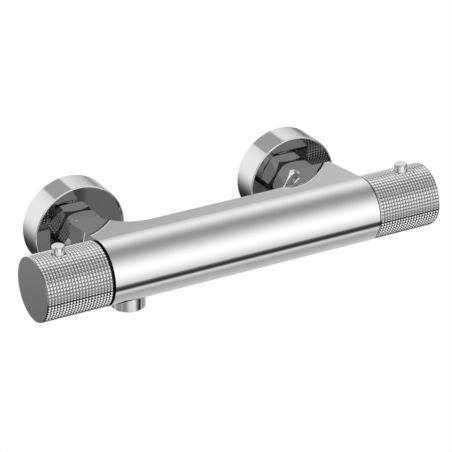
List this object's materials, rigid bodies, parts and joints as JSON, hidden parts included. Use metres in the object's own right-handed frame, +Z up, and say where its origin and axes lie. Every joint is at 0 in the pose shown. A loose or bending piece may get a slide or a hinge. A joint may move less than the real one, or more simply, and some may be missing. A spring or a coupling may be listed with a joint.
{
  "type": "thermostatic shower valve",
  "caption": "Exposed thermostatic bar valve in chrome with knurled end knobs, wall unions with round cover cups and a hose outlet below.",
  "frame": {"origin": "on the finished wall, midway between the two wall threads, at the height of their axes", "axes": "+X along the bar towards the temperature knob, +Y into the wall, +Z up"},
  "size_m": [0.2708, 0.1066, 0.06],
  "materials": {
    "polished_chrome": "polished chrome plate on brass",
    "bare_brass": "machined brass",
    "black_rubber": "smooth rubber",
    "white_plastic": "moulded plastic",
    "blue_plastic": "moulded plastic",
    "ceramic": "lapped ceramic",
    "stainless_steel": "drawn wire and bar"
  },
  "bodies": {
    "valve": {"valve_body": "polished_chrome", "outlet_nipple": "polished_chrome", "outlet_o_ring": "black_rubber", "thermostat_housing": "bare_brass", "thermostat_o_rings": "black_rubber", "thermostat_retaining_nut": "bare_brass", "temperature_stop_ring": "white_plastic", "thermostat_spring": "stainless_steel", "flow_housing": "bare_brass", "flow_o_rings": "black_rubber", "flow_inlet_seal": "black_rubber", "flow_fixed_disc": "ceramic", "flow_retaining_nut": "bare_brass", "flow_stop_ring": "white_plastic", "hot_inlet_tail": "polished_chrome", "cold_inlet_tail": "polished_chrome", "inlet_o_rings": "black_rubber", "hot_check_housing": "white_plastic", "cold_check_housing": "white_plastic", "hot_check_spring": "stainless_steel", "cold_check_spring": "stainless_steel", "filter_washers": "black_rubber", "filter_meshes": "stainless_steel", "hot_eccentric_union": "polished_chrome", "cold_eccentric_union": "polished_chrome"},
    "temperature_handle": {"temperature_knob": "polished_chrome", "temperature_driver": "white_plastic", "temperature_grub_screw": "stainless_steel", "thermostat_spindle": "bare_brass", "temperature_button_spring": "stainless_steel"},
    "flow_handle": {"flow_knob": "polished_chrome", "flow_driver": "white_plastic", "flow_grub_screw": "stainless_steel", "flow_spindle": "bare_brass", "flow_moving_disc": "ceramic", "flow_button_spring": "stainless_steel"},
    "temperature_override": {"temperature_button": "polished_chrome"},
    "flow_override": {"flow_button": "polished_chrome"},
    "mixing_element": {"mixing_shuttle": "white_plastic", "wax_element": "bare_brass"},
    "hot_nut": {"hot_union_nut": "polished_chrome"},
    "cold_nut": {"cold_union_nut": "polished_chrome"},
    "hot_cover": {"hot_escutcheon": "polished_chrome"},
    "cold_cover": {"cold_escutcheon": "polished_chrome"},
    "hot_poppet": {"hot_check_poppet": "blue_plastic"},
    "cold_poppet": {"cold_check_poppet": "blue_plastic"}
  },
  "joints": [
    {"name": "temperature_turn", "type": "hinge", "parent": "valve", "child": "temperature_handle", "pos_m": [0.09425, -0.0703, 0.0066], "axis": [1, 0, 0], "range_deg": [-200, 60]},
    {"name": "flow_turn", "type": "hinge", "parent": "valve", "child": "flow_handle", "pos_m": [-0.08825, -0.0703, 0.0066], "axis": [-1, 0, 0], "range_deg": [0, 180]},
    {"name": "temperature_press", "type": "slide", "parent": "temperature_handle", "child": "temperature_override", "axis": [0, 0, -1], "range_m": [0, 0.0025], "stiffness_N_per_m": 300, "springref_m": -0.001, "deforming": ["temperature_button_spring"]},
    {"name": "flow_press", "type": "slide", "parent": "flow_handle", "child": "flow_override", "axis": [0, 0, -1], "range_m": [0, 0.0025], "stiffness_N_per_m": 300, "springref_m": -0.001, "deforming": ["flow_button_spring"]},
    {"name": "mixing_slide", "type": "slide", "parent": "valve", "child": "mixing_element", "axis": [1, 0, 0], "range_m": [-0.0018, 0.00055], "deforming": ["thermostat_spring"]},
    {"name": "hot_nut_turn", "type": "hinge", "parent": "valve", "child": "hot_nut", "pos_m": [-0.075, -0.0229, 0.0075], "axis": [0, -1, 0], "continuous": true},
    {"name": "cold_nut_turn", "type": "hinge", "parent": "valve", "child": "cold_nut", "pos_m": [0.075, -0.0229, 0.0075], "axis": [0, -1, 0], "continuous": true},
    {"name": "hot_cover_turn", "type": "hinge", "parent": "valve", "child": "hot_cover", "pos_m": [-0.075, -0.009, 0.0075], "axis": [0, -1, 0], "continuous": true},
    {"name": "cold_cover_turn", "type": "hinge", "parent": "valve", "child": "cold_cover", "pos_m": [0.075, -0.009, 0.0075], "axis": [0, -1, 0], "continuous": true},
    {"name": "hot_poppet_lift", "type": "slide", "parent": "valve", "child": "hot_poppet", "axis": [0, -1, 0], "range_m": [0, 0.0024], "stiffness_N_per_m": 60, "springref_m": -0.001, "deforming": ["hot_check_spring"]},
    {"name": "cold_poppet_lift", "type": "slide", "parent": "valve", "child": "cold_poppet", "axis": [0, -1, 0], "range_m": [0, 0.0024], "stiffness_N_per_m": 60, "springref_m": -0.001, "deforming": ["cold_check_spring"]}
  ],
  "couplings": [
    {"joint": "mixing_slide", "follows": "temperature_turn", "m_per_rad": 0.0005}
  ]
}
